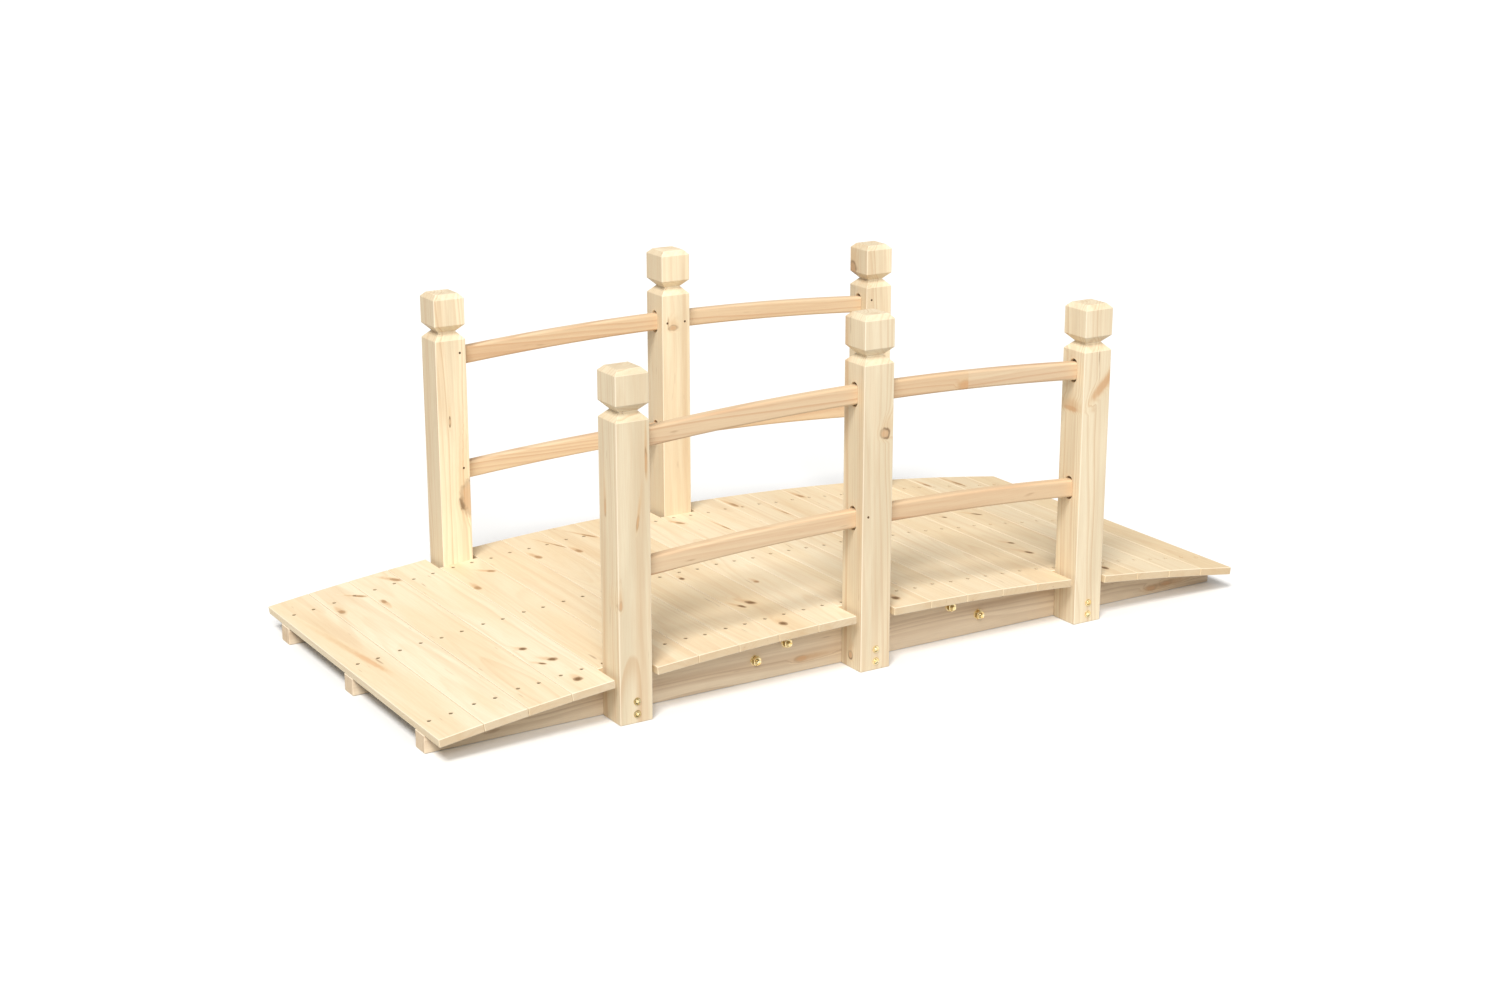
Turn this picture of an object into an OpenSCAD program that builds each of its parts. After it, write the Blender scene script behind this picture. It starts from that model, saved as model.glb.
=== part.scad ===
// Arched garden bridge of planed softwood.
// Three arched stringers carry a deck of cross boards, and six posts bolted to
// the outer stringers hold two curved rails in each bay.
// X runs along the walkway, Y across it, Z up. The origin lies on the ground
// at the middle of the bridge. "near" is the -Y side, "left" the -X end.

/* [Overall] */
// Length of the deck from end to end
length = 1500; // [1300:10:1800]
// Width over the posts, which is also the length of a full deck board
width = 678; // [500:2:900]

/* [Deck] */
// Height of the deck's top at the middle of the bridge
crown_h = 96; // [85:1:130]
// Height of the deck's top at its two ends
end_h = 41; // [34:1:60]
// Thickness of a deck board
board_t = 13; // [10:0.5:18]
// Gap between two neighbouring deck boards
board_gap = 0.6; // [0.3:0.1:6]
// Number of full boards between two short ones
bay_boards = 5; // [4:1:7]
// Number of full boards from the last short one to the end
end_boards = 4; // [3:1:6]

/* [Stringers] */
// Thickness of a stringer
stringer_t = 32; // [24:1:45]
// Thickness of the plate that joins the two halves of a stringer
splice_t = 20; // [14:1:30]
// Length of that plate
splice_len = 490; // [300:5:600]
// Height of the plate's underside above the ground
splice_z = 14; // [2:1:20]
// Drop from the stringer's top to the plate's top, at the plate's end
splice_drop = 9; // [2:1:20]

/* [Posts] */
// Side of the square posts
post_w = 55; // [40:1:60]
// Height of the four posts near the ends
end_post_h = 540; // [530:1:700]
// Height of the two posts at the middle
mid_post_h = 571; // [550:1:740]
// Height of the straight sides of a post's head
head_h = 44; // [25:1:70]
// Height of the groove under the head
groove_h = 25; // [10:1:40]
// Depth of that groove
groove_d = 12.5; // [5:0.5:16]
// Chamfer round the top of the head
head_chamfer = 8; // [2:0.5:14]

/* [Rails] */
// Height of a rail
rail_h = 29; // [24:1:40]
// Thickness of a rail
rail_t = 18; // [14:1:26]
// Radius of a rail's four long edges
rail_round = 4; // [2:0.5:6.5]
// Height of the top rails' underside at the middle of the bridge
top_rail_z = 431; // [400:1:435]
// Height of the low rails' underside at the middle of the bridge
low_rail_z = 233; // [180:1:340]
// Length of a rail's end that sits inside a post
tenon = 22; // [12:1:24]

/* [Clearances] */
// Gap between a deck board and the crest of the stringer under it
board_seat = 0.1; // [0.05:0.05:0.5]
// Gap between the two halves of a stringer
stringer_gap = 0.5; // [0.2:0.1:2]
// Gap between a rail and the side or the end of its mortise
mortise_side = 0.3; // [0.2:0.1:1]

/* [Hidden] */
$fn = 64;
// Segments of a full circle of the deck's large radius
arc_fn = 1440;

// Deck arc: a circle through the crown and both ends
rise = crown_h - end_h;
deck_r = (pow(length / 2, 2) + rise * rise) / (2 * rise);
seat_r = deck_r - board_t;
stringer_r = seat_r - board_seat;
deck_centre_z = crown_h - deck_r;
board_count = 3 + 2 * bay_boards + 2 * end_boards;
end_angle = asin(length / 2 / deck_r);
board_angle = 2 * end_angle / board_count;
board_w = 2 * seat_r * tan(board_angle / 2) - board_gap;

// Posts stand where the short boards leave room for them
post_step = bay_boards + 1;
post_y = (width - post_w) / 2;
stringer_y = width / 2 - post_w - stringer_t / 2;
stringer_end = seat_r * sin(end_angle);
seam_x = seat_r * sin(board_angle / 2);
splice_end = seam_x + splice_len / 2;
splice_top = deck_centre_z + sqrt(pow(stringer_r, 2) - pow(splice_end, 2)) - splice_drop;

// Named places along and across the bridge
ENDS = ["left", "middle", "right"];
BAYS = ["left", "right"];
SIDES = ["near", "far"];
LINES = ["near", "middle", "far"];
LEVELS = ["top", "low"];

function two_digits(n) = str(n < 10 ? "0" : "", n);
function board_name(i) = str("deck_board_", two_digits(i + 1));
function stringer_name(line, half) = str("stringer_", LINES[line], "_", BAYS[half]);
function splice_name(line) = str("splice_", LINES[line]);
function post_name(side, end) = str("post_", SIDES[side], "_", ENDS[end]);
function rail_name(side, bay, level) = str("rail_", SIDES[side], "_", BAYS[bay], "_", LEVELS[level]);

function side_sign(side) = side == 0 ? -1 : 1;
function post_x(end) = deck_r * sin((end - 1) * post_step * board_angle);
function post_h(end) = end == 1 ? mid_post_h : end_post_h;
function rail_z(level) = level == 0 ? top_rail_z : low_rail_z;
function is_short(i) = (i - end_boards) % post_step == 0;

// One board, laid flat on the crest of the arc; those between the posts are shorter
module deck_board(i) {
    span = is_short(i) ? width - 2 * post_w : width;
    turn = (i - (board_count - 1) / 2) * board_angle;
    color("wheat")
        translate([0, 0, deck_centre_z])
            rotate([0, turn, 0])
                translate([-board_w / 2, -span / 2, seat_r])
                    cube([board_w, span, board_t]);
}

// Half a stringer: flat underneath, arched on top, cut off square at both ends
module stringer(line, half) {
    start = half == 0 ? -stringer_end : seam_x + stringer_gap / 2;
    stop = half == 0 ? seam_x - stringer_gap / 2 : stringer_end;
    color("tan")
        translate([0, (line - 1) * stringer_y + stringer_t / 2, 0])
            rotate([90, 0, 0])
                linear_extrude(stringer_t)
                    intersection() {
                        translate([0, deck_centre_z])
                            circle(r = stringer_r, $fn = arc_fn);
                        translate([start, 0])
                            square([stop - start, crown_h]);
                    }
}

// Plate bolted over the joint of a stringer, on the side that faces the middle
module splice(line) {
    inner_y = (line - 1) * (stringer_y - stringer_t / 2);
    plate_y = line == 0 ? inner_y : line == 1 ? stringer_t / 2 : inner_y - splice_t;
    color("burlywood")
        translate([seam_x - splice_len / 2, plate_y, splice_z])
            cube([splice_len, splice_t, splice_top - splice_z]);
}

// Upright section through a post, with the grooved neck and the chamfered head
module post_outline(height) {
    half = post_w / 2;
    head_top = height - head_chamfer;
    head_foot = head_top - head_h;
    shoulder = head_foot - groove_h;
    neck = shoulder + groove_h / 2;
    polygon([
        [-half, 0], [half, 0], [half, shoulder], [half - groove_d, neck],
        [half, head_foot], [half, head_top], [half - head_chamfer, height],
        [head_chamfer - half, height], [-half, head_top], [-half, head_foot],
        [groove_d - half, neck], [-half, shoulder]
    ]);
}

// The outline run through the post along one horizontal direction
module post_slice(height) {
    rotate([90, 0, 0])
        linear_extrude(post_w, center = true)
            post_outline(height);
}

// Square post: the same outline seen from two sides, with a mortise for each rail
module post(side, end) {
    color("wheat")
        difference() {
            translate([post_x(end), side_sign(side) * post_y, 0])
                intersection() {
                    post_slice(post_h(end));
                    rotate([0, 0, 90])
                        post_slice(post_h(end));
                }
            for (bay = [0 : 1], level = [0 : 1])
                rail_path(side, bay, level, mortise_side)
                    mortise_section();
        }
}

// Section through a rail, with its four edges rounded
module rail_section() {
    flat_h = rail_h - 2 * rail_round;
    flat_t = rail_t - 2 * rail_round;
    square([rail_h, flat_t], center = true);
    square([flat_h, rail_t], center = true);
    for (a = [-1, 1], b = [-1, 1])
        translate([a * flat_h / 2, b * flat_t / 2])
            circle(r = rail_round);
}

// Section through a mortise: a milled slot, with its round ends centred where
// the rail's edges begin to round, so that a half-moon stays open at each end
module mortise_section() {
    slot_r = rail_t / 2 + mortise_side;
    straight = rail_h - 2 * rail_round;
    square([straight, 2 * slot_r], center = true);
    for (a = [-1, 1])
        translate([a * straight / 2, 0])
            circle(r = slot_r);
}

// Sweeps a section along the deck's curve from inside one post to inside the next
module rail_path(side, bay, level, end_gap) {
    reach = post_w / 2 - tenon - end_gap;
    mid_r = deck_r + rail_h / 2;
    start = acos((post_x(bay) + reach) / mid_r);
    stop = acos((post_x(bay + 1) - reach) / mid_r);
    translate([0, side_sign(side) * post_y, rail_z(level) - deck_r])
        rotate([90, 0, 0])
            rotate([0, 0, stop])
                rotate_extrude(angle = start - stop, $fn = arc_fn)
                    translate([mid_r, 0])
                        children();
}

// Curved rail of one bay, with its ends inside the posts
module rail(side, bay, level) {
    color("navajowhite")
        rail_path(side, bay, level, 0)
            rail_section();
}

for (i = [0 : board_count - 1])
    deck_board(i);
for (line = [0 : 2], half = [0 : 1])
    stringer(line, half);
for (line = [0 : 2])
    splice(line);
for (side = [0 : 1], end = [0 : 2])
    post(side, end);
for (side = [0 : 1], bay = [0 : 1], level = [0 : 1])
    rail(side, bay, level);
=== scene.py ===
import math
import random

import bpy
from mathutils import Matrix, Vector


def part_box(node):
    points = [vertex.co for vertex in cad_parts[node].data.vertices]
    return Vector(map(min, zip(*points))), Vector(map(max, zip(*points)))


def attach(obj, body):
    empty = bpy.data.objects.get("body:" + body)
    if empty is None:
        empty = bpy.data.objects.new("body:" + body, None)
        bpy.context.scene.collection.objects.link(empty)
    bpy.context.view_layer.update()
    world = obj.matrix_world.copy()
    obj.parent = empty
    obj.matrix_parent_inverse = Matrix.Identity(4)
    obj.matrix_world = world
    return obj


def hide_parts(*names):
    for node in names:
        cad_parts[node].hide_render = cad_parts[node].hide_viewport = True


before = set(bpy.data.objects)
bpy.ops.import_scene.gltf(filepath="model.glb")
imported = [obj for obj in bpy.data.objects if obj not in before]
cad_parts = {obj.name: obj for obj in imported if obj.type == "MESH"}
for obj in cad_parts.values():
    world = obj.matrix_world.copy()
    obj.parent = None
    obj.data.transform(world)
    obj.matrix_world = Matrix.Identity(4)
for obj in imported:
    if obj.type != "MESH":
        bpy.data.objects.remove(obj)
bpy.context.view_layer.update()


# Stringers
# Three spruce beams under the deck, each of two halves, sawn flat underneath and
# arched on top, planed all round. The outer two have the posts screwed to them.
MM = 0.001
LINES = ("near", "middle", "far")
HALVES = ("left", "right")
ALONG_BRIDGE = Vector((1, 0, 0))
ACROSS_BRIDGE = Vector((0, 1, 0))
UPRIGHT = Vector((0, 0, 1))
STRINGER_EASE = 1.2 * MM
STRINGER_HEART_OUT = 60 * MM
STRINGER_HEART_DOWN = 15 * MM
# Places of the stringers' knots, x and z in mm, and their radii along, across and up
STRINGER_KNOTS = {"left": ((-103, 21),), "right": ((617, 11), (650, 14))}
STRINGER_KNOT_RADII = (14 * MM, 20 * MM, 5 * MM)
# How strong a knot's brown core, its dark rim and its stained tail are
DARK_KNOTS = (0.85, 0.5, 0.3)
SOFT_KNOTS = (0.05, 0.15, 0.3)
KNOTS_STORED = 4
FAR_FROM_KNOTS = (9, 9, 9)
# How a face was cut: a planed side, an end or an eased edge
FACE_CUT = 0.0
END_CUT = 1.0
EASED_CUT = -1.0
# How squarely a face has to look one way to be a side or an end, an eased edge or a slant
SQUARE_ON = 0.96
EASED_ON = 0.75
SLANTED = 0.3
MERGE_WITHIN = 0.01 * MM
chance = random.Random(21)


def planed_copy(node_name):
    """Copies a CAD node, merges its loose triangles to whole faces and leaves it active."""
    bpy.ops.object.select_all(action="DESELECT")
    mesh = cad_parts[node_name].data.copy()
    mesh.materials.clear()
    piece = bpy.data.objects.new("planed_" + node_name, mesh)
    bpy.context.scene.collection.objects.link(piece)
    bpy.context.view_layer.objects.active = piece
    piece.select_set(True)
    bpy.ops.mesh.customdata_custom_splitnormals_clear()
    bpy.ops.object.mode_set(mode="EDIT")
    bpy.ops.mesh.select_all(action="SELECT")
    bpy.ops.mesh.remove_doubles(threshold=MERGE_WITHIN)
    bpy.ops.mesh.dissolve_limited(angle_limit=math.radians(0.1))
    bpy.ops.mesh.faces_shade_flat()
    bpy.ops.object.mode_set(mode="OBJECT")
    return piece


def ease_edges(piece, width):
    """Rounds every sharp edge of a piece a little, as planing and sanding do."""
    rounding = piece.modifiers.new("eased edges", "BEVEL")
    rounding.width = width
    rounding.segments = 2
    rounding.limit_method = "ANGLE"
    rounding.angle_limit = math.radians(30)
    bpy.ops.object.modifier_apply(modifier=rounding.name)


def lay_grain(piece, heart, along, across, tone, knots=(), knot_look=DARK_KNOTS,
              worn_and_lit_edges=True, end_cut=END_CUT):
    """Stores on the mesh how the piece lies in its log, where its knots are and how it was cut."""
    depth = along.cross(across)
    start = chance.uniform(0, 20)
    grain = piece.data.attributes.new("grain", "FLOAT_VECTOR", "POINT")
    for index, point in enumerate(piece.data.vertices):
        out = point.co - heart
        grain.data[index].vector = (start + out.dot(along), out.dot(across), out.dot(depth))
    for number in range(KNOTS_STORED):
        stored = piece.data.attributes.new(f"knot_{number + 1}", "FLOAT_VECTOR", "POINT")
        for index, point in enumerate(piece.data.vertices):
            stored.data[index].vector = FAR_FROM_KNOTS
            if number < len(knots):
                place, radii, lean = knots[number]
                away = point.co - place
                rise, shift = away.dot(along), away.dot(across)
                steps = (rise * math.cos(lean) + shift * math.sin(lean),
                         shift * math.cos(lean) - rise * math.sin(lean), away.dot(depth))
                stored.data[index].vector = [s / radius for s, radius in zip(steps, radii)]
    surface = piece.data.attributes.new("surface", "FLOAT_VECTOR", "FACE")
    look = piece.data.attributes.new("knot_look", "FLOAT_VECTOR", "FACE")
    for index, face in enumerate(piece.data.polygons):
        turned = [abs(face.normal.dot(way)) for way in (along, across, depth)]
        slanted = turned[2] < SLANTED < turned[0]
        cut = FACE_CUT
        if turned[0] > SQUARE_ON:
            cut = end_cut
        # Eased edges are marked for pale paint, partly sanding wear and partly a painted highlight
        elif worn_and_lit_edges and EASED_ON < max(turned) < SQUARE_ON and not slanted:
            cut = EASED_CUT
        surface.data[index].vector = (tone, cut, 0)
        look.data[index].vector = knot_look


def paint(red, green, blue):
    """A colour given as screen values from 0 to 255, as the shader wants it."""
    steps = [value / 255 for value in (red, green, blue)]
    return [s / 12.92 if s < 0.04 else ((s + 0.055) / 1.055) ** 2.4 for s in steps] + [1.0]


def put(tree, kind, *values, out=0, **settings):
    """Adds a shader node, fills its inputs in order with values or sockets, and gives an output."""
    node = tree.nodes.new(kind)
    for name, value in settings.items():
        setattr(node, name, value)
    for socket, value in zip(node.inputs, values):
        if isinstance(value, bpy.types.NodeSocket):
            tree.links.new(value, socket)
        elif value is not None:
            socket.default_value = value
    return node.outputs[out]


def reckon(tree, operation, first, second=0.0):
    """One step of arithmetic on two values."""
    return put(tree, "ShaderNodeMath", first, second, operation=operation)


def fade(tree, value, start, stop, low, high):
    """Carries a value smoothly from low to high while it goes from start to stop."""
    return put(tree, "ShaderNodeMapRange", value, start, stop, low, high,
               interpolation_type="SMOOTHSTEP")


def blend(tree, share, under, over):
    """Lays a colour over another by the given share."""
    return put(tree, "ShaderNodeMix", share, None, None, None, None, None, under, over,
               out=2, data_type="RGBA")


def noise(tree, place, stretch, detail):
    """Soft noise from 0 to 1, with so many waves to the metre each way."""
    stretched = put(tree, "ShaderNodeVectorMath", place, stretch, operation="MULTIPLY")
    return put(tree, "ShaderNodeTexNoise", stretched, None, 1.0, detail, 0.55)


def make_group(name, inputs, outputs):
    """A shader node group with named sockets, and its sockets inside."""
    group = bpy.data.node_groups.new(name, "ShaderNodeTree")
    for way, sockets in (("INPUT", inputs), ("OUTPUT", outputs)):
        for socket, kind in sockets:
            group.interface.new_socket(name=socket, in_out=way, socket_type="NodeSocket" + kind)
    given = group.nodes.new("NodeGroupInput").outputs
    result = group.nodes.new("NodeGroupOutput").inputs
    return group, given, result


KNOT_SOCKETS = [f"Knot {number + 1}" for number in range(KNOTS_STORED)]
STORED_SOCKETS = ["Grain", *KNOT_SOCKETS, "Surface", "Knot look"]
spruce, given, result = make_group(
    "spruce grain",
    [(socket, "Vector") for socket in STORED_SOCKETS]
    + [("Pale", "Color"), ("Warm", "Color"), ("Ring", "Color")]
    + [("Ring gap", "Float"), ("Ring strength", "Float"), ("Streak strength", "Float")],
    [("Colour", "Color"), ("Roughness", "Float"), ("Height", "Float")])
grain_place = given["Grain"]
surface_parts = put(spruce, "ShaderNodeSeparateXYZ", given["Surface"]).node.outputs
tone, cut = surface_parts[0], surface_parts[1]
look_parts = put(spruce, "ShaderNodeSeparateXYZ", given["Knot look"]).node.outputs
knot_fill, knot_rim, knot_tail = look_parts[0], look_parts[1], look_parts[2]
end_grain = reckon(spruce, "MAXIMUM", cut, 0.0)
# Eased edge faces, painted paler below as sanding wear and painted highlight
eased = reckon(spruce, "MAXIMUM", reckon(spruce, "MULTIPLY", cut, -1.0), 0.0)

# Knots: a dark rim round a brown core, and a stained tail on one side along the grain
nearest_core = 9.0
nearest_tail = 9.0
for socket in KNOT_SOCKETS:
    knot_place = given[socket]
    core_away = put(spruce, "ShaderNodeVectorMath", knot_place, out=1, operation="LENGTH")
    knot_along = put(spruce, "ShaderNodeSeparateXYZ", knot_place)
    drawn_out = fade(spruce, knot_along, -1, 1, 1, 0.35)
    squeeze = put(spruce, "ShaderNodeCombineXYZ", drawn_out, 1.0, 1.0)
    tail_place = put(spruce, "ShaderNodeVectorMath", knot_place, squeeze, operation="MULTIPLY")
    tail_away = put(spruce, "ShaderNodeVectorMath", tail_place, out=1, operation="LENGTH")
    nearest_core = reckon(spruce, "MINIMUM", core_away, nearest_core)
    nearest_tail = reckon(spruce, "MINIMUM", tail_away, nearest_tail)
ragged = fade(spruce, noise(spruce, grain_place, (90, 160, 160), 3), 0.25, 0.75, -0.12, 0.12)
knot_distance = reckon(spruce, "ADD", nearest_core, ragged)
tail_distance = reckon(spruce, "ADD", nearest_tail, ragged)
halo = fade(spruce, tail_distance, 0.6, 2.2, 1, 0)
tail = fade(spruce, tail_distance, 0.5, 1.5, 1, 0)
core = fade(spruce, knot_distance, 0.45, 1.1, 1, 0)
rim = reckon(spruce, "MULTIPLY", fade(spruce, knot_distance, 0.95, 1.3, 1, 0),
             fade(spruce, knot_distance, 0.5, 0.95, 0, 1))
broken = fade(spruce, noise(spruce, grain_place, (45, 45, 45), 1), 0.42, 0.6, 0.35, 1)
rim = reckon(spruce, "MULTIPLY", rim, broken)

# Year rings: shells round the heart of the log that wander, taper and pass round the knots
wander = fade(spruce, noise(spruce, grain_place, (1.6, 9, 9), 2), 0.2, 0.8, -9 * MM, 9 * MM)
taper = put(spruce, "ShaderNodeVectorMath", grain_place, (0.014, 0, 0), out=1,
            operation="DOT_PRODUCT")
out_from_heart = put(spruce, "ShaderNodeVectorMath", grain_place, (0, 1, 1), operation="MULTIPLY")
log_radius = put(spruce, "ShaderNodeVectorMath", out_from_heart, out=1, operation="LENGTH")
for shift in (wander, taper, reckon(spruce, "MULTIPLY", halo, 7 * MM)):
    log_radius = reckon(spruce, "ADD", log_radius, shift)
uneven = put(spruce, "ShaderNodeTexNoise", None, reckon(spruce, "MULTIPLY", log_radius, 70.0),
             1.0, 1.0, noise_dimensions="1D")
years = reckon(spruce, "ADD", reckon(spruce, "DIVIDE", log_radius, given["Ring gap"]),
               reckon(spruce, "MULTIPLY", uneven, 1.6))
season = reckon(spruce, "FRACT", years)
late_wood = reckon(spruce, "MULTIPLY", fade(spruce, season, 0.3, 0.85, 0, 1),
                   fade(spruce, season, 0.88, 1.0, 1, 0))
good_year = put(spruce, "ShaderNodeTexWhiteNoise", None, reckon(spruce, "FLOOR", years),
                noise_dimensions="1D")
late_wood = reckon(spruce, "MULTIPLY", late_wood, fade(spruce, good_year, 0, 1, 0.15, 1))
streak = fade(spruce, noise(spruce, grain_place, (1.2, 45, 45), 3), 0.46, 0.78, 0, 1)
fibre = noise(spruce, grain_place, (22, 650, 650), 2)
fleck = fade(spruce, noise(spruce, grain_place, (16, 120, 120), 1), 0.72, 0.84, 0, 0.5)
figure = fade(spruce, noise(spruce, grain_place, (2.5, 16, 16), 2), 0.44, 0.66, 0, 0.5)

# Colour, from the clean wood to the darkest knot
FLECK_BROWN = paint(150, 108, 70)
HALO_HONEY = paint(232, 186, 122)
END_GRAIN_TAN = paint(198, 170, 134)
EASED_PALE_HIGHLIGHT = paint(252, 240, 218)
TAIL_TAN = paint(204, 154, 102)
CORE_ORANGE = paint(222, 160, 108)
CORE_BROWN = paint(110, 80, 44)
RIM_BROWN = paint(104, 70, 38)
colour = blend(spruce, tone, given["Pale"], given["Warm"])
stains = (
    (figure, given["Warm"]),
    (reckon(spruce, "MULTIPLY", late_wood, given["Ring strength"]), given["Ring"]),
    (reckon(spruce, "MULTIPLY", streak, given["Streak strength"]), given["Ring"]),
    (fade(spruce, fibre, 0.35, 0.75, 0, 0.14), given["Ring"]),
    (fleck, FLECK_BROWN),
    (reckon(spruce, "MULTIPLY", halo, 0.16), HALO_HONEY),
    (reckon(spruce, "MULTIPLY", end_grain, 0.45), END_GRAIN_TAN),
    # Eased edges painted paler: partly sanding wear, partly a painted highlight where they catch the
    # lamp
    (reckon(spruce, "MULTIPLY", eased, 0.5), EASED_PALE_HIGHLIGHT),
    (reckon(spruce, "MULTIPLY", tail, knot_tail), TAIL_TAN),
    (reckon(spruce, "MULTIPLY", core, 0.34), CORE_ORANGE),
    (reckon(spruce, "MULTIPLY", core, knot_fill), CORE_BROWN),
    (reckon(spruce, "MULTIPLY", rim, knot_rim), RIM_BROWN),
)
for share, stain in stains:
    colour = blend(spruce, share, colour, stain)
spruce.links.new(colour, result["Colour"])

# Gloss and relief: late wood is smoother and stands out, and a knot's rim is sunk
rough = reckon(spruce, "ADD", fade(spruce, fibre, 0.2, 0.8, 0.52, 0.68),
               reckon(spruce, "MULTIPLY", late_wood, -0.08))
spruce.links.new(rough, result["Roughness"])
relief = reckon(spruce, "ADD", reckon(spruce, "MULTIPLY", fibre, 0.6),
                reckon(spruce, "MULTIPLY", late_wood, 0.4))
relief = reckon(spruce, "SUBTRACT", relief, reckon(spruce, "MULTIPLY", rim, 0.5))
spruce.links.new(relief, result["Height"])


def spruce_finish(name, pale, warm, ring, ring_gap, ring_strength, streak_strength):
    """Planed bare spruce, with its own colours and spacing of the year rings."""
    material = bpy.data.materials.new(name)
    material.use_nodes = True
    tree = material.node_tree
    shader = tree.nodes["Principled BSDF"]
    shader.inputs["Specular IOR Level"].default_value = 0.3
    wood = tree.nodes.new("ShaderNodeGroup")
    wood.node_tree = spruce
    for socket in STORED_SOCKETS:
        stored = socket.lower().replace(" ", "_")
        tree.links.new(put(tree, "ShaderNodeAttribute", out=1, attribute_name=stored),
                       wood.inputs[socket])
    chosen = {"Pale": pale, "Warm": warm, "Ring": ring, "Ring gap": ring_gap,
              "Ring strength": ring_strength, "Streak strength": streak_strength}
    for socket, value in chosen.items():
        wood.inputs[socket].default_value = value
    bump = tree.nodes.new("ShaderNodeBump")
    bump.inputs["Strength"].default_value = 0.35
    bump.inputs["Distance"].default_value = 0.3 * MM
    tree.links.new(wood.outputs["Height"], bump.inputs["Height"])
    tree.links.new(wood.outputs["Colour"], shader.inputs["Base Color"])
    tree.links.new(wood.outputs["Roughness"], shader.inputs["Roughness"])
    tree.links.new(bump.outputs["Normal"], shader.inputs["Normal"])
    return material


def fit_piece(piece, material, slot, *nodes):
    """Gives a piece its material and hands it to the bridge in place of the CAD nodes."""
    piece.data.materials.append(material)
    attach(piece, "root")
    if nodes:
        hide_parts(*nodes)


stringer_spruce = spruce_finish(
    "planed spruce of the stringers", paint(248, 229, 200), paint(240, 217, 187),
    paint(192, 160, 126), 7 * MM, 0.5, 0.5)
for line in LINES:
    for half in HALVES:
        node = f"stringer_{line}_{half}"
        low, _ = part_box(node)
        stringer = planed_copy(node)
        ease_edges(stringer, STRINGER_EASE)
        heart = Vector((0, low.y - STRINGER_HEART_OUT, low.z - STRINGER_HEART_DOWN))
        knots = []
        for x, z in STRINGER_KNOTS[half]:
            knots.append((Vector((x * MM, low.y, z * MM)), STRINGER_KNOT_RADII, 0.0))
        lay_grain(stringer, heart, ALONG_BRIDGE, ACROSS_BRIDGE, chance.random(), knots, SOFT_KNOTS)
        fit_piece(stringer, stringer_spruce, "stringer_wood", node)


# Splice plates
# A short spruce plate lies over the joint of each stringer, hidden under the deck, and
# holds its two halves in line. It is sawn square and bolted through.
SPLICE_EASE = 1.0 * MM
SPLICE_HEART_OUT = 20 * MM
SPLICE_HEART_DOWN = 30 * MM
for line in LINES:
    node = f"splice_{line}"
    low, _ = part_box(node)
    plate = planed_copy(node)
    ease_edges(plate, SPLICE_EASE)
    heart = Vector((0, low.y - SPLICE_HEART_OUT, low.z - SPLICE_HEART_DOWN))
    lay_grain(plate, heart, ALONG_BRIDGE, ACROSS_BRIDGE, chance.random())
    fit_piece(plate, stringer_spruce, "stringer_wood", node)


# Splice bolts
# Four yellow zinc bolts hold each plate. The round head lies on the plate, and a
# washer and a hexagon nut sit on the stringer's other face, with the thread's end out.
WASHER_R = 8.5 * MM
WASHER_T = 1.6 * MM
WASHER_SIDES = 28
WASHER_CHAMFER = 0.4 * MM
NUT_FLATS = 13 * MM
NUT_T = 6.5 * MM
NUT_CORNERS = 6
NUT_TURNED_R = NUT_FLATS / 1.78
NUT_TURNED_SIDES = 30
NUT_CHAMFER = 1.1 * MM
NUT_LAP = 0.1 * MM
BOLT_R = 4 * MM
BOLT_SIDES = 18
BOLT_CHAMFER = 0.7 * MM
THREAD_OUT = 5 * MM
THREAD_RINGS = 4
THREAD_RUN_OUT = 0.6
THREAD_HALF = 0.45 * MM
THREAD_CORE = 0.84
HIDDEN_LAP = 1 * MM
BOLT_HEAD_R = 9 * MM
BOLT_HEAD_H = 4 * MM
BOLT_HEAD_RIM = 0.8 * MM
BOLT_HEAD_SIDES = 26
BOLT_HEAD_STEPS = 4
SMOOTH_UNDER = math.radians(28)
# Places of the bolts in each plate, x and z
SPLICE_BOLTS = (
    (-189 * MM, 35 * MM), (-132 * MM, 54 * MM), (185 * MM, 56 * MM), (243 * MM, 32 * MM),
)


def turned_blank(name, radius, low, high, sides):
    """A short round or many-sided bar along +Z, from low to high, active and selected."""
    bpy.ops.object.select_all(action="DESELECT")
    bpy.ops.mesh.primitive_cylinder_add(vertices=sides, radius=radius, depth=high - low,
                                        location=(0, 0, (low + high) / 2))
    bpy.ops.object.transform_apply(location=True, rotation=True, scale=True)
    blank = bpy.context.object
    blank.name = name
    return blank


def pick_faces(piece, test):
    """Leaves only the faces that pass the test selected, in edit mode."""
    bpy.ops.object.mode_set(mode="EDIT")
    bpy.ops.mesh.select_mode(type="FACE")
    bpy.ops.mesh.select_all(action="DESELECT")
    bpy.ops.object.mode_set(mode="OBJECT")
    for face in piece.data.polygons:
        face.select = test(face)
    bpy.ops.object.mode_set(mode="EDIT")


def chamfer_top(piece, width):
    """Takes the sharp rim off the top face of a turned piece."""
    top = max(point.co.z for point in piece.data.vertices)
    pick_faces(piece, lambda face: face.normal.z > 0.9 and face.center.z > top - MERGE_WITHIN)
    bpy.ops.mesh.bevel(offset=width, segments=2, affect="EDGES")
    bpy.ops.object.mode_set(mode="OBJECT")


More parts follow.
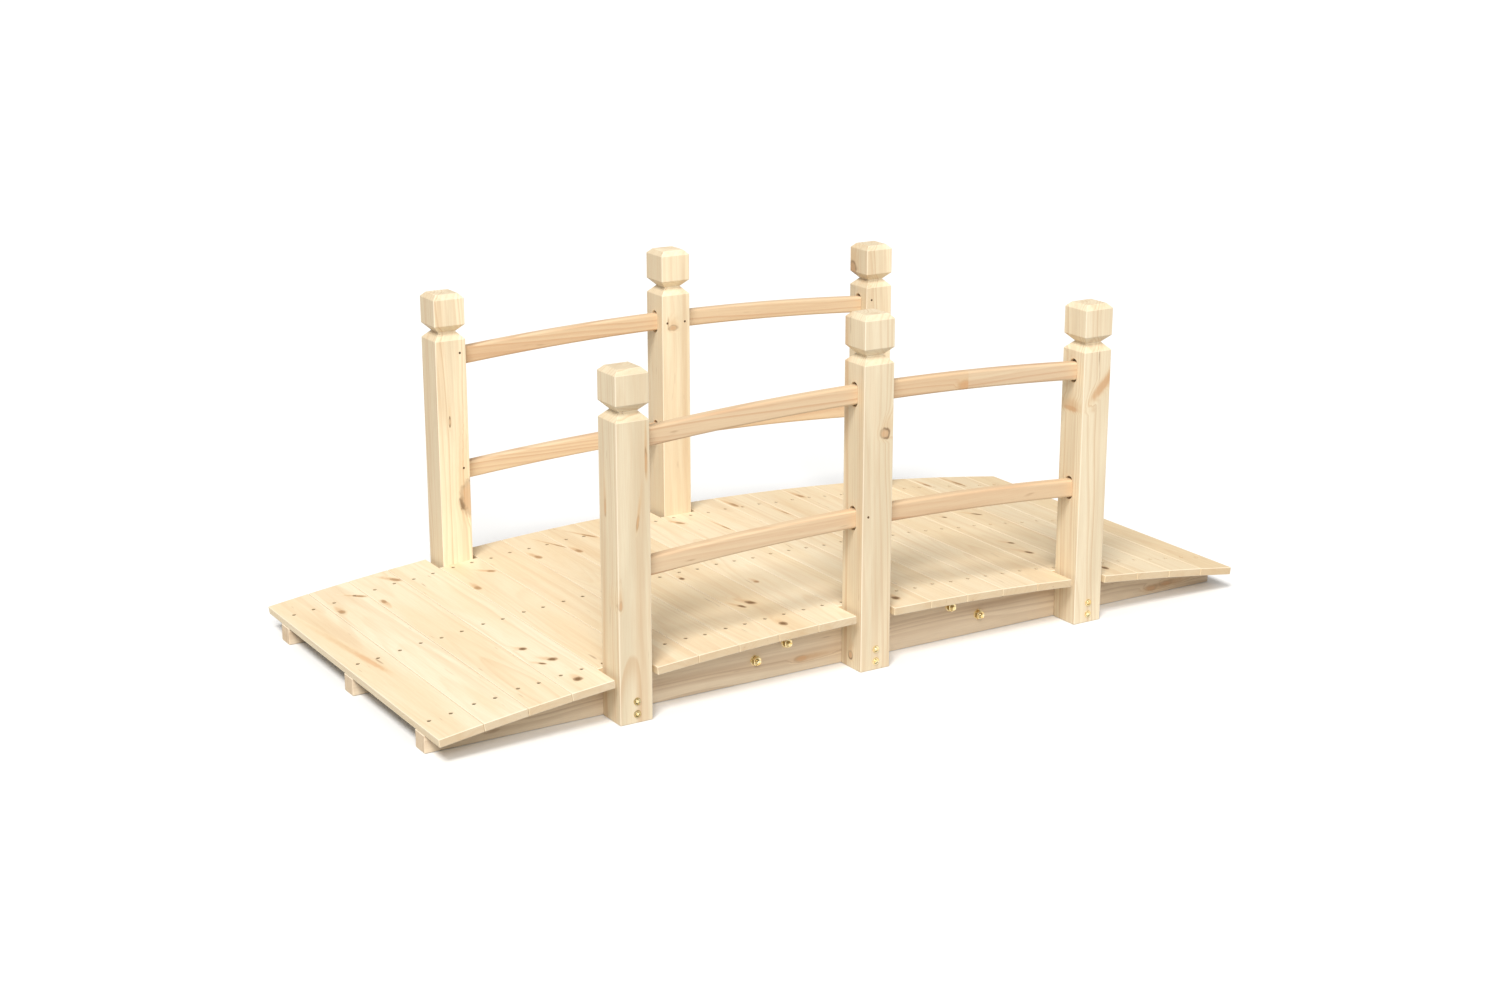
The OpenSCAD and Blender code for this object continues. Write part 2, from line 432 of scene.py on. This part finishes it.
def dome_top(piece, height, steps):
    """Draws the top face in and up by steps into a low dome."""
    top = max(point.co.z for point in piece.data.vertices)
    radius = max(point.co.x for point in piece.data.vertices)
    pick_faces(piece, lambda face: face.normal.z > 0.9 and face.center.z > top - MERGE_WITHIN)
    for step in range(steps):
        here, there = step / steps, (step + 1) / steps
        inward = radius * 0.9 * (math.sqrt(1 - here ** 2) - math.sqrt(1 - there ** 2))
        bpy.ops.mesh.inset(thickness=min(inward, radius * 0.35))
        bpy.ops.transform.translate(value=(0, 0, height / steps))
    bpy.ops.object.mode_set(mode="OBJECT")


def join_pieces(pieces, name):
    """Joins pieces to one, which stays active and takes the name."""
    bpy.ops.object.select_all(action="DESELECT")
    for piece in pieces:
        piece.select_set(True)
    bpy.context.view_layer.objects.active = pieces[0]
    if len(pieces) > 1:
        bpy.ops.object.join()
    pieces[0].name = name
    pieces[0].data.name = name
    return pieces[0]


def set_out(pattern, places, name):
    """Copies a pattern piece to each place and joins the copies to one piece."""
    copies = []
    for place in places:
        mesh = pattern.data.copy()
        mesh.transform(place)
        copy = bpy.data.objects.new(name, mesh)
        bpy.context.scene.collection.objects.link(copy)
        copies.append(copy)
    return join_pieces(copies, name)


def facing(point, way):
    """Places a piece made along +Z at a point so that it stands out along the given way."""
    return Matrix.Translation(point) @ way.to_track_quat("Z", "Y").to_matrix().to_4x4()


def zinc_finish(name, bright, dull):
    """Metal with bright and dull blotches, darker where a face is marked: real tarnish on the nails,
    painted shade and painted dark reflection on the zinc.
    """
    material = bpy.data.materials.new(name)
    material.use_nodes = True
    tree = material.node_tree
    shader = tree.nodes["Principled BSDF"]
    shader.inputs["Metallic"].default_value = 1.0
    place = put(tree, "ShaderNodeTexCoord", out=3)
    blotch = noise(tree, place, (260, 260, 260), 3)
    scratch = noise(tree, place, (900, 2600, 900), 2)
    tarnish = put(tree, "ShaderNodeAttribute", out=2, attribute_name="tarnish")
    colour = blend(tree, fade(tree, blotch, 0.35, 0.7, 0, 1), bright, dull)
    # Marked faces are painted dark: tarnish on the nails, painted shade and dark reflection on nuts
    # and screws
    colour = blend(tree, reckon(tree, "MULTIPLY", tarnish, 0.55), colour, paint(108, 88, 50))
    tree.links.new(colour, shader.inputs["Base Color"])
    tree.links.new(fade(tree, blotch, 0.3, 0.75, 0.2, 0.38), shader.inputs["Roughness"])
    bump = tree.nodes.new("ShaderNodeBump")
    bump.inputs["Strength"].default_value = 0.25
    bump.inputs["Distance"].default_value = 0.1 * MM
    tree.links.new(scratch, bump.inputs["Height"])
    tree.links.new(bump.outputs["Normal"], shader.inputs["Normal"])
    return material


washer = turned_blank("washer", WASHER_R, 0, WASHER_T, WASHER_SIDES)
chamfer_top(washer, WASHER_CHAMFER)
nut_top = WASHER_T + NUT_T
nut = turned_blank("nut", NUT_FLATS / math.sqrt(3), WASHER_T - NUT_LAP, nut_top, NUT_CORNERS)
chamfer = turned_blank("nut chamfer", NUT_TURNED_R, WASHER_T - HIDDEN_LAP, nut_top, NUT_TURNED_SIDES)
chamfer_top(chamfer, NUT_CHAMFER)
bpy.context.view_layer.objects.active = nut
turning = nut.modifiers.new("turned corners", "BOOLEAN")
turning.operation = "INTERSECT"
turning.object = chamfer
bpy.ops.object.modifier_apply(modifier=turning.name)
bpy.data.objects.remove(chamfer)
thread_top = nut_top + THREAD_OUT
thread = turned_blank("thread", BOLT_R, nut_top - HIDDEN_LAP, thread_top, BOLT_SIDES)
bpy.ops.object.mode_set(mode="EDIT")
for ring in range(THREAD_RINGS):
    ring_z = nut_top + (ring + 0.5) * THREAD_OUT / (THREAD_RINGS + THREAD_RUN_OUT)
    for side in (-THREAD_HALF, 0.0, THREAD_HALF):
        bpy.ops.mesh.select_all(action="SELECT")
        bpy.ops.mesh.bisect(plane_co=(0, 0, ring_z + side), plane_no=UPRIGHT)
        if side == 0.0:
            bpy.ops.transform.resize(value=(THREAD_CORE, THREAD_CORE, 1),
                                     center_override=(0, 0, ring_z))
bpy.ops.object.mode_set(mode="OBJECT")
chamfer_top(thread, BOLT_CHAMFER)
nut_set = join_pieces([washer, nut, thread], "nut set")

# Every other flat of the nut is painted dark as a painted reflection, and the thread's hollows as
# painted shade
tarnish = nut_set.data.attributes.new("tarnish", "FLOAT", "FACE")
for index, face in enumerate(nut_set.data.polygons):
    away = math.hypot(face.center.x, face.center.y)
    slope = abs(face.normal.z)
    flat = round(math.atan2(face.normal.y, face.normal.x) / math.radians(360 / NUT_CORNERS))
    on_flat = away > 1.2 * BOLT_R and slope < 0.5 and face.center.z > WASHER_T
    in_hollow = away < 0.96 * BOLT_R and slope > 0.3 and face.center.z < thread_top - HIDDEN_LAP
    tarnish.data[index].value = 1.0 if in_hollow or on_flat and flat % 2 else 0.0
bolt_head = turned_blank("bolt head", BOLT_HEAD_R, 0, BOLT_HEAD_RIM, BOLT_HEAD_SIDES)
dome_top(bolt_head, BOLT_HEAD_H - BOLT_HEAD_RIM, BOLT_HEAD_STEPS)

yellow_zinc = zinc_finish("yellow zinc of the bolts", paint(255, 243, 200), paint(246, 208, 126))
for line in LINES:
    beam_low, beam_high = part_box(f"stringer_{line}_left")
    plate_low, plate_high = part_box(f"splice_{line}")
    plate_behind = plate_low.y > beam_low.y
    nut_y = beam_low.y if plate_behind else beam_high.y
    head_y = plate_high.y if plate_behind else plate_low.y
    nut_way = -ACROSS_BRIDGE if plate_behind else ACROSS_BRIDGE
    nuts = [facing(Vector((x, nut_y, z)), nut_way) for x, z in SPLICE_BOLTS]
    heads = [facing(Vector((x, head_y, z)), -nut_way) for x, z in SPLICE_BOLTS]
    bolts = join_pieces([set_out(nut_set, nuts, "nuts"), set_out(bolt_head, heads, "heads")],
                        f"splice_bolts_{line}")
    bpy.ops.object.shade_smooth_by_angle(angle=SMOOTH_UNDER)
    fit_piece(bolts, yellow_zinc, "fastener_metal")
bpy.data.objects.remove(nut_set)
bpy.data.objects.remove(bolt_head)


# Posts
# Six square spruce posts, planed and with their long edges eased. A groove is milled
# round each under its head, the head is chamfered, and slots take the rails' ends.
SIDES = ("near", "far")
PLACES = ("left", "middle", "right")
POST_EASE = 1.2 * MM
MILLED_EASE = 0.5 * MM
SLOT_HALF = 10 * MM
POST_END_CUT = 0.2
# The heart of each log, in mm from the post's middle along and across the bridge
POST_HEART_X = (-60, -40)
POST_HEART_Y = (30, 60)
# Places of the knots from the post's middle along and across, and up from the ground, their
# radii up, along and across the bridge, all in mm, and how far they lean, in degrees
POST_KNOTS = {
    "post_near_left": ((-27, 9, 331, 14, 60, 3, 0), (6, -27, 310, 12, 2, 60, 8),
                       (21, -27, 400, 20, 2, 60, 0), (-24, -27, 187, 8, 3, 26, 0)),
    "post_near_middle": ((12, -27, 384, 8, 9, 60, 20), (-27, 1, 21, 7, 60, 6, 0)),
    "post_near_right": ((11, -27, 404, 30, 8, 26, 45), (-27, 2, 366, 5, 20, 20, 0)),
    "post_far_left": ((24, -27, 190, 28, 16, 40, 0), (-6, -27, 325, 9, 2, 26, 0)),
    "post_far_middle": ((-6, -27, 436, 5, 9, 26, 0),),
    "post_far_right": ((-27, 20, 494, 13, 14, 13, 0), (6, 27, 300, 12, 6, 26, 0)),
}
POST_KNOT_LOOKS = {
    "post_near_left": (0.1, 0.4, 0.3), "post_near_middle": (0.12, 0.75, 0.1),
    "post_near_right": (0.1, 0.0, 0.35), "post_far_left": (0.18, 0.75, 0.0),
    "post_far_middle": (0.2, 0.6, 0.2), "post_far_right": (0.3, 0.6, 0.2),
}
# The near left post is cut close to the heart of its log, which gives it a wavy figure
WAVY_POST = "post_near_left"
WAVY_SHIFT = Vector((32 * MM, -22 * MM, 0))
# The far posts' left sides get a darker, warmer tone, which is painted shade
LEFT_SIDE_SHADE_TONE = 0.75
LOOKS_LEFT = -0.6
# How warm each post is, from 0 for pale to 1 for warm
POST_TONES = {
    "post_near_left": 0.45, "post_near_middle": 0.3, "post_near_right": 0.25,
    "post_far_left": 0.0, "post_far_middle": 0.0, "post_far_right": 0.0,
}
post_spruce = spruce_finish(
    "planed spruce of the posts", paint(252, 237, 206), paint(217, 200, 169),
    paint(204, 162, 116), 6 * MM, 0.44, 0.4)


def pick_post_edges(post, middle, upright):
    """Selects a post's sharp outer edges, the upright ones or the others, but not its slots."""
    bpy.ops.object.mode_set(mode="EDIT")
    bpy.ops.mesh.select_mode(type="EDGE")
    bpy.ops.mesh.select_all(action="DESELECT")
    bpy.ops.object.mode_set(mode="OBJECT")
    points = [point.co - middle for point in post.data.vertices]
    sides = {}
    for face in post.data.polygons:
        for key in face.edge_keys:
            sides.setdefault(key, []).append(face.normal)
    for edge in post.data.edges:
        ends = [points[index] for index in edge.vertices]
        at_slot = any(abs(end.y) < SLOT_HALF for end in ends)
        normals = sides[edge.key]
        sharp = len(normals) == 2 and normals[0].angle(normals[1]) > math.radians(15)
        runs_up = abs((ends[0] - ends[1]).normalized().z) > 0.99
        edge.select = sharp and not at_slot and runs_up == upright


for side in SIDES:
    for place in PLACES:
        node = f"post_{side}_{place}"
        low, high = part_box(node)
        middle = (low + high) / 2
        post = planed_copy(node)
        for upright, ease in ((True, POST_EASE), (False, MILLED_EASE)):
            pick_post_edges(post, middle, upright)
            bpy.ops.object.mode_set(mode="EDIT")
            bpy.ops.mesh.bevel(offset=ease, segments=2, affect="EDGES")
            bpy.ops.object.mode_set(mode="OBJECT")
        knots = []
        for x, y, z, up, wide, deep, lean in POST_KNOTS[node]:
            spot = Vector((middle.x + x * MM, middle.y + y * MM, z * MM))
            knots.append((spot, (up * MM, wide * MM, deep * MM), math.radians(lean)))
        heart = middle + Vector((chance.uniform(*POST_HEART_X), chance.uniform(*POST_HEART_Y), 0)) * MM
        if node == WAVY_POST:
            heart += WAVY_SHIFT
        lay_grain(post, heart, UPRIGHT, ALONG_BRIDGE, POST_TONES[node], knots,
                  POST_KNOT_LOOKS[node], end_cut=POST_END_CUT)
        # Painted shade: faces of the far posts that look left are given the darker tone
        if side == "far":
            for index, face in enumerate(post.data.polygons):
                if face.normal.x < LOOKS_LEFT:
                    post.data.attributes["surface"].data[index].vector.x = LEFT_SIDE_SHADE_TONE
        fit_piece(post, post_spruce, "post_wood", node)


# Post screws
# Two coach screws with round heads, zinc yellow, one over the other through the foot of
# each post from outside. They end inside the stringer. A dark ring is painted round the
# middle as painted shade and painted dark reflection, fainter beyond the left posts.
SCREW_HEAD_R = 6 * MM
SCREW_HEAD_H = 1.6 * MM
SCREW_SIDES = 28
SCREW_CHAMFER = 0.9 * MM
SCREW_RIM = 0.5 * MM
SCREW_HOLLOW = 1.0 * MM
SCREW_BOSS_R = 2.8 * MM
SCREW_BOSS_H = 0.6 * MM
SCREW_BOSS_EASE = 0.2 * MM
SCREW_SUNK = 2 * MM
SCREW_ASIDE = 1 * MM
SCREW_HEIGHTS = (14 * MM, 34 * MM)
# How much of the painted shade ring the screws right of the left posts keep
FAINTER_SCREW_SHADE = 0.2

screw = turned_blank("screw head", SCREW_HEAD_R, -SCREW_SUNK, SCREW_HEAD_H, SCREW_SIDES)
chamfer_top(screw, SCREW_CHAMFER)
pick_faces(screw, lambda face: face.normal.z > 0.99 and face.center.z > 0)
bpy.ops.mesh.inset(thickness=SCREW_RIM)
bpy.ops.mesh.inset(thickness=SCREW_HEAD_R - SCREW_CHAMFER - SCREW_RIM - SCREW_BOSS_R)
bpy.ops.transform.translate(value=(0, 0, -SCREW_HOLLOW))
bpy.ops.mesh.inset(thickness=SCREW_RIM)
bpy.ops.transform.translate(value=(0, 0, SCREW_BOSS_H))
bpy.ops.mesh.bevel(offset=SCREW_BOSS_EASE, segments=2, affect="EDGES")
bpy.ops.object.mode_set(mode="OBJECT")
# Painted shade and dark reflection: the head's hollow, rim and chamfer are marked dark, the middle
# boss stays bright
tarnish = screw.data.attributes.new("tarnish", "FLOAT", "FACE")
for index, face in enumerate(screw.data.polygons):
    away = math.hypot(face.center.x, face.center.y)
    tarnish.data[index].value = 1.0 if away > SCREW_BOSS_R - SCREW_RIM else 0.0
for side in SIDES:
    outward = -ACROSS_BRIDGE if side == "near" else ACROSS_BRIDGE
    heads = []
    for place in PLACES:
        low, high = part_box(f"post_{side}_{place}")
        face_y = low.y if side == "near" else high.y
        screw_x = (low.x + high.x) / 2 + SCREW_ASIDE
        for height in SCREW_HEIGHTS:
            heads.append(facing(Vector((screw_x, face_y, height)), outward))
    screws = set_out(screw, heads, f"post_screws_{side}")
    left_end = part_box(f"post_{side}_left")[1].x
    # The painted dark ring is fainter on the screws right of the left posts
    for index, face in enumerate(screws.data.polygons):
        if face.center.x > left_end:
            screws.data.attributes["tarnish"].data[index].value *= FAINTER_SCREW_SHADE
    bpy.ops.object.shade_smooth_by_angle(angle=SMOOTH_UNDER)
    fit_piece(screws, yellow_zinc, "fastener_metal")
bpy.data.objects.remove(screw)


# Deck boards
# Twenty-one spruce boards, planed, laid close across the stringers and nailed down.
# Those at the posts are cut short to fit between them. Nails are sunk in small holes.
BOARDS = 21
BOARD_EASE = 1.0 * MM
TONE_STEP = 0.035
NAIL_SPREAD = 17.5 * MM
NAIL_HOLE_R = 3.5 * MM
NAIL_HOLE_DEPTH = 1.8 * MM
NAIL_HOLE_SIDES = 12
PUNCH_ABOVE = 2 * MM
# How far a nail strays across its board, in mm, and how many times that along it
NAIL_STRAY = 2
STRAY_ALONG = 1.5
# The heart of each log, in mm under the board and to its sides, and how its grain dips
BOARD_HEART_DOWN = (25, 60)
BOARD_HEART_ASIDE = (-30, 30)
GRAIN_DIP = 0.06
TONE_SPREAD = 0.25
# Knots of each board: place across and along it from the middle and radii along and across,
# in mm, and lean in degrees
DECK_KNOTS = {
    1: ((1, 0, 60, 5, -5),),
    2: ((-25, 219, 9, 5, 0), (25, 260, 11, 4, -36)),
    3: ((-27, 208, 9, 4, 180), (28, 285, 11, 5, -27)),
    4: ((-15, -136, 6, 5, -35), (1, -203, 8, 6, -33), (-18, -208, 7, 3, -33), (-4, -297, 7, 7, 0)),
    5: ((-27, 151, 9, 5, 0), (25, 208, 8, 5, -39)),
    7: ((-26, 217, 9, 5, -9), (29, 248, 19, 2, -19)),
    8: ((-28, 200, 9, 5, -7), (25, 261, 16, 3, -24)),
    9: ((-29, -29, 6, 4, 0), (3, -192, 10, 6, -25), (-18, -199, 9, 4, -22), (-6, -303, 8, 6, 0)),
    10: ((-8, -112, 5, 4, 0),),
    11: ((-24, 234, 9, 5, -27), (31, 169, 16, 2, -4)),
    12: ((-5, -299, 8, 6, 0),),
    13: ((-26, 283, 13, 5, -5), (30, 198, 13, 2, -6)),
    15: ((-26, 283, 11, 5, -9),),
    17: ((0, 66, 5, 4, -36), (9, -117, 7, 5, -40), (1, -178, 9, 6, -29)),
    18: ((4, 69, 10, 4, -50), (-2, -298, 8, 6, 0)),
    19: ((-25, 284, 13, 5, -3),),
    20: ((-21, 285, 16, 5, -8),),
}
KNOT_DEPTH = 60 * MM
TAN_KNOTS = (0.42, 0.3, 0.5)
STREAK = (0.0, 0.0, 0.25)
STREAKED_BOARD = 1
DARK_KNOT_BOARDS = (4, 9, 12, 17, 18)
deck_spruce = spruce_finish(
    "planed spruce of the deck", paint(245, 231, 202), paint(235, 211, 171),
    paint(218, 180, 134), 7 * MM, 0.28, 0.36)
nail_lines = []
for line in LINES:
    low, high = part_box(f"stringer_{line}_left")
    nail_lines.append((low.y + high.y) / 2)
nail_places = {line: [] for line in LINES}


def board_top(board):
    """The middle of a board's top face and the way it looks."""
    face = max(board.data.polygons, key=lambda item: item.normal.z)
    return face.center.copy(), face.normal.copy()


for number in range(1, BOARDS + 1):
    node = f"deck_board_{number:02d}"
    board = planed_copy(node)
    top, up = board_top(board)
    across = ACROSS_BRIDGE.cross(up)
    ease_edges(board, BOARD_EASE)
    holes = []
    for line, line_y in zip(LINES, nail_lines):
        for spread in (-NAIL_SPREAD, NAIL_SPREAD):
            stray = chance.uniform(-NAIL_STRAY, NAIL_STRAY) * MM
            spot = top + across * (spread + stray) + ACROSS_BRIDGE * (line_y + STRAY_ALONG * stray)
            nail_places[line].append(facing(spot, up))
            holes.append(facing(spot, up))
    bit = turned_blank("nail punch", NAIL_HOLE_R, -NAIL_HOLE_DEPTH, PUNCH_ABOVE, NAIL_HOLE_SIDES)
    drill = set_out(bit, holes, "nail holes")
    bpy.ops.object.select_all(action="DESELECT")
    bpy.context.view_layer.objects.active = board
    board.select_set(True)
    punching = board.modifiers.new("nail holes", "BOOLEAN")
    punching.operation = "DIFFERENCE"
    punching.object = drill
    bpy.ops.object.modifier_apply(modifier=punching.name)
    bpy.data.objects.remove(drill)
    bpy.data.objects.remove(bit)
    knots = []
    for sideways, y, long, wide, lean in DECK_KNOTS.get(number, ()):
        spot = top + across * sideways * MM + ACROSS_BRIDGE * y * MM
        knots.append((spot, (long * MM, wide * MM, KNOT_DEPTH), math.radians(lean)))
    knot_look = DARK_KNOTS if number in DARK_KNOT_BOARDS else TAN_KNOTS
    if number == STREAKED_BOARD:
        knot_look = STREAK
    heart_down = chance.uniform(*BOARD_HEART_DOWN) * MM
    heart = top - up * heart_down + across * chance.uniform(*BOARD_HEART_ASIDE) * MM
    grain_way = (ACROSS_BRIDGE + up * chance.uniform(-GRAIN_DIP, GRAIN_DIP)).normalized()
    tone = TONE_STEP * number + chance.uniform(-TONE_SPREAD, TONE_SPREAD)
    lay_grain(board, heart, grain_way, across, tone, knots, knot_look)
    fit_piece(board, deck_spruce, "deck_wood", node)


# Deck nails
# Two steel nails hold each board to each stringer. Their flat round heads are driven
# just under the wood, and stand in dark little holes in three long rows.
NAIL_HEAD_R = 3.3 * MM
NAIL_FOOT = 2.6 * MM
NAIL_SUNK = 1.0 * MM
NAIL_CROWN = 0.3 * MM
NAIL_SIDES = 12
NAIL_STEPS = 2
# How dull one nail after another is, over and over along each row
NAIL_TARNISH = (0.0, 0.9, 0.3, 0.0, 0.6, 0.1, 1.0)


def steel_finish(name, bright, dull):
    """Bare steel gone brown, which shines less than zinc."""
    material = zinc_finish(name, bright, dull)
    material.node_tree.nodes["Principled BSDF"].inputs["Metallic"].default_value = 0.3
    return material


nail_steel = steel_finish("dull steel of the nails", paint(112, 84, 54), paint(62, 44, 26))
nail = turned_blank("nail head", NAIL_HEAD_R, -NAIL_FOOT, -NAIL_SUNK - NAIL_CROWN, NAIL_SIDES)
dome_top(nail, NAIL_CROWN, NAIL_STEPS)
nail_faces = len(nail.data.polygons)
for line in LINES:
    nails = set_out(nail, nail_places[line], f"deck_nails_{line}")
    tarnish = nails.data.attributes.new("tarnish", "FLOAT", "FACE")
    for index in range(len(nails.data.polygons)):
        tarnish.data[index].value = NAIL_TARNISH[index // nail_faces % len(NAIL_TARNISH)]
    bpy.ops.object.shade_smooth_by_angle(angle=SMOOTH_UNDER)
    fit_piece(nails, nail_steel, "nail_metal")
bpy.data.objects.remove(nail)


# Rails
# Two curved spruce rails in each bay, sawn to the sweep of the deck and rounded on all
# four edges. Their ends sit in the posts' slots. One is joined from two lengths.
LEVELS = ("top", "low")
JOINED_RAIL = "rail_near_right_top"
JOINT_X = 183 * MM
JOINED_TONES = (1.3, 0.2)
# A stain beside the joint, and its radii along, across and up
STAIN_ASIDE = 7 * MM
STAIN_UP = 8 * MM
STAIN_RADII = (12 * MM, 20 * MM, 8 * MM)
# The heart of each log, in mm to the rail's sides and under it
RAIL_HEART_ASIDE = (-30, 30)
RAIL_HEART_DOWN = (30, 60)
RAIL_END_REACH = 2 * MM
JOINT_REACH = 1 * MM
RAIL_SMOOTH_UNDER = math.radians(25)
rail_spruce = spruce_finish(
    "planed spruce of the rails", paint(232, 209, 175), paint(226, 196, 158),
    paint(200, 150, 110), 8 * MM, 0.5, 0.6)
rail_ends = []


def saw_in_two(rail, cut_x):
    """Saws a rail across and gives its two closed lengths."""
    other = bpy.data.objects.new(rail.name + "_right", rail.data.copy())
    bpy.context.scene.collection.objects.link(other)
    for piece, keep_left in ((rail, True), (other, False)):
        bpy.ops.object.select_all(action="DESELECT")
        bpy.context.view_layer.objects.active = piece
        piece.select_set(True)
        bpy.ops.object.mode_set(mode="EDIT")
        bpy.ops.mesh.select_all(action="SELECT")
        bpy.ops.mesh.bisect(plane_co=(cut_x, 0, 0), plane_no=ALONG_BRIDGE, use_fill=True,
                            clear_outer=keep_left, clear_inner=not keep_left)
        bpy.ops.object.mode_set(mode="OBJECT")
    return [rail, other]


for side in SIDES:
    for half in HALVES:
        for level in LEVELS:
            node = f"rail_{side}_{half}_{level}"
            low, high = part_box(node)
            rail = planed_copy(node)
            ends = []
            for end_x in (low.x, high.x):
                at_end = [point.co for point in rail.data.vertices
                          if abs(point.co.x - end_x) < RAIL_END_REACH]
                heights = [place.z for place in at_end]
                middle_y = (low.y + high.y) / 2
                ends.append(Vector((end_x, middle_y, (min(heights) + max(heights)) / 2)))
            rail_ends.append((side, ends))
            along = (ends[1] - ends[0]).normalized()
            lengths = [rail]
            if node == JOINED_RAIL:
                lengths = saw_in_two(rail, JOINT_X)
            for length in lengths:
                heart = (ends[0] + ends[1]) / 2
                heart_aside = chance.uniform(*RAIL_HEART_ASIDE) * MM
                heart += Vector((0, heart_aside, -chance.uniform(*RAIL_HEART_DOWN) * MM))
                tone = chance.random() if len(lengths) == 1 else JOINED_TONES[lengths.index(length)]
                knots = []
                if len(lengths) > 1 and length is lengths[0]:
                    at_joint = [point.co for point in length.data.vertices
                                if point.co.x > JOINT_X - JOINT_REACH]
                    foot = min(place.z for place in at_joint)
                    spot = Vector((JOINT_X - STAIN_ASIDE, low.y, foot + STAIN_UP))
                    knots.append((spot, STAIN_RADII, 0.0))
                lay_grain(length, heart, along, ACROSS_BRIDGE, tone, knots, SOFT_KNOTS,
                          worn_and_lit_edges=False)
            rail = join_pieces(lengths, "planed_" + node)
            bpy.ops.object.shade_smooth_by_angle(angle=RAIL_SMOOTH_UNDER)
            fit_piece(rail, rail_spruce, "rail_wood", node)


# Rail nails
# A small nail through the post holds each rail's end. It is driven from the walkway
# side, and one more shows outside on the near middle post.
RAIL_NAIL_IN = 12 * MM
RAIL_NAIL_R = 2.0 * MM
RAIL_NAIL_FOOT = 2 * MM
RAIL_NAIL_OUT = 0.15 * MM
SPARE_NAIL = Vector((-17 * MM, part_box("post_near_middle")[0].y, 254 * MM))

rail_nail = turned_blank("rail nail", RAIL_NAIL_R, -RAIL_NAIL_FOOT, RAIL_NAIL_OUT, NAIL_SIDES)
dome_top(rail_nail, NAIL_CROWN, NAIL_STEPS)
for side in SIDES:
    low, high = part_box(f"post_{side}_middle")
    walkway_y = high.y if side == "near" else low.y
    walkway_way = ACROSS_BRIDGE if side == "near" else -ACROSS_BRIDGE
    spots = []
    for rail_side, ends in rail_ends:
        if rail_side == side:
            for end, inward in ((ends[0], RAIL_NAIL_IN), (ends[1], -RAIL_NAIL_IN)):
                spots.append(facing(Vector((end.x + inward, walkway_y, end.z)), walkway_way))
    if side == "near":
        spots.append(facing(SPARE_NAIL, -ACROSS_BRIDGE))
    nails = set_out(rail_nail, spots, f"rail_nails_{side}")
    bpy.ops.object.shade_smooth_by_angle(angle=SMOOTH_UNDER)
    fit_piece(nails, nail_steel, "nail_metal")
bpy.data.objects.remove(rail_nail)


# Studio
# A plain pale floor, two soft lamps in front to the left, one high and one low, and an
# even sky, seen white. The camera stands where the photograph was taken from.
FLOOR_SIZE = 80
FLOOR_DROP = 0.5 * MM
FLOOR_WHITES = (paint(252, 252, 252), paint(250, 250, 250))
# The floor throws less light back on the bridge than it shows
FLOOR_GIVES_BACK = paint(188, 188, 188)
SKY_COLOUR = (1.0, 1.0, 0.99, 1.0)
SKY_LIGHT = 0.4
SKY_SEEN = 1.1
bpy.ops.object.select_all(action="DESELECT")
bpy.ops.mesh.primitive_plane_add(size=FLOOR_SIZE, location=(0, 0, -FLOOR_DROP))
floor = bpy.context.object
floor.name = "floor"
floor_paint = bpy.data.materials.new("pale floor")
floor_paint.use_nodes = True
floor_tree = floor_paint.node_tree
floor_shader = floor_tree.nodes["Principled BSDF"]
floor_shader.inputs["Roughness"].default_value = 0.8
floor_cloud = noise(floor_tree, put(floor_tree, "ShaderNodeTexCoord", out=3), (2, 2, 2), 2)
floor_colour = blend(floor_tree, floor_cloud, *FLOOR_WHITES)
floor_bounce = put(floor_tree, "ShaderNodeLightPath", out=2)
floor_colour = blend(floor_tree, floor_bounce, floor_colour, FLOOR_GIVES_BACK)
floor_tree.links.new(floor_colour, floor_shader.inputs["Base Color"])
from_below = put(floor_tree, "ShaderNodeNewGeometry", out=6)
floor_solid = reckon(floor_tree, "SUBTRACT", 1.0, from_below)
floor_tree.links.new(floor_solid, floor_shader.inputs["Alpha"])
floor.data.materials.append(floor_paint)

world = bpy.data.worlds.new("even sky")
world.use_nodes = True
sky_tree = world.node_tree
sky = sky_tree.nodes["Background"]
sky.inputs["Color"].default_value = SKY_COLOUR
sky_in_view = put(sky_tree, "ShaderNodeLightPath")
sky_strength = fade(sky_tree, sky_in_view, 0, 1, SKY_LIGHT, SKY_SEEN)
sky_tree.links.new(sky_strength, sky.inputs["Strength"])
bpy.context.scene.world = world

# Each lamp's name, the way to it, how wide it looks in degrees, and its strength
LAMP_COLOUR = (1.0, 0.99, 0.97)
LAMP_AWAY = 4
LAMPS = (
    ("key lamp", Vector((-0.43, -0.41, 0.8)), 19, 2.25),
    ("fill lamp", Vector((-0.33, -0.74, 0.59)), 20, 1.15),
)
for name, way, spread, strength in LAMPS:
    bpy.ops.object.light_add(type="SUN", location=way * LAMP_AWAY)
    lamp = bpy.context.object
    lamp.name = name
    lamp.data.angle = math.radians(spread)
    lamp.data.energy = strength
    lamp.data.color = LAMP_COLOUR
    lamp.rotation_euler = way.to_track_quat("Z", "Y").to_euler()

PHOTO_WIDTH_PX = 1500
FOCAL_PX = 2340.6
SENSOR_MM = 36
CAMERA_PLACE = (-1.988, -3.1938, 1.308)
CAMERA_TILT = math.radians(73.503)
CAMERA_TURN = math.radians(-31.597)
bpy.ops.object.camera_add(location=CAMERA_PLACE)
camera = bpy.context.object
camera.rotation_euler = (CAMERA_TILT, 0, CAMERA_TURN)
camera.data.sensor_width = SENSOR_MM
camera.data.sensor_fit = "HORIZONTAL"
camera.data.lens = FOCAL_PX / PHOTO_WIDTH_PX * SENSOR_MM
bpy.context.scene.camera = camera
bpy.context.scene.view_settings.view_transform = "Standard"
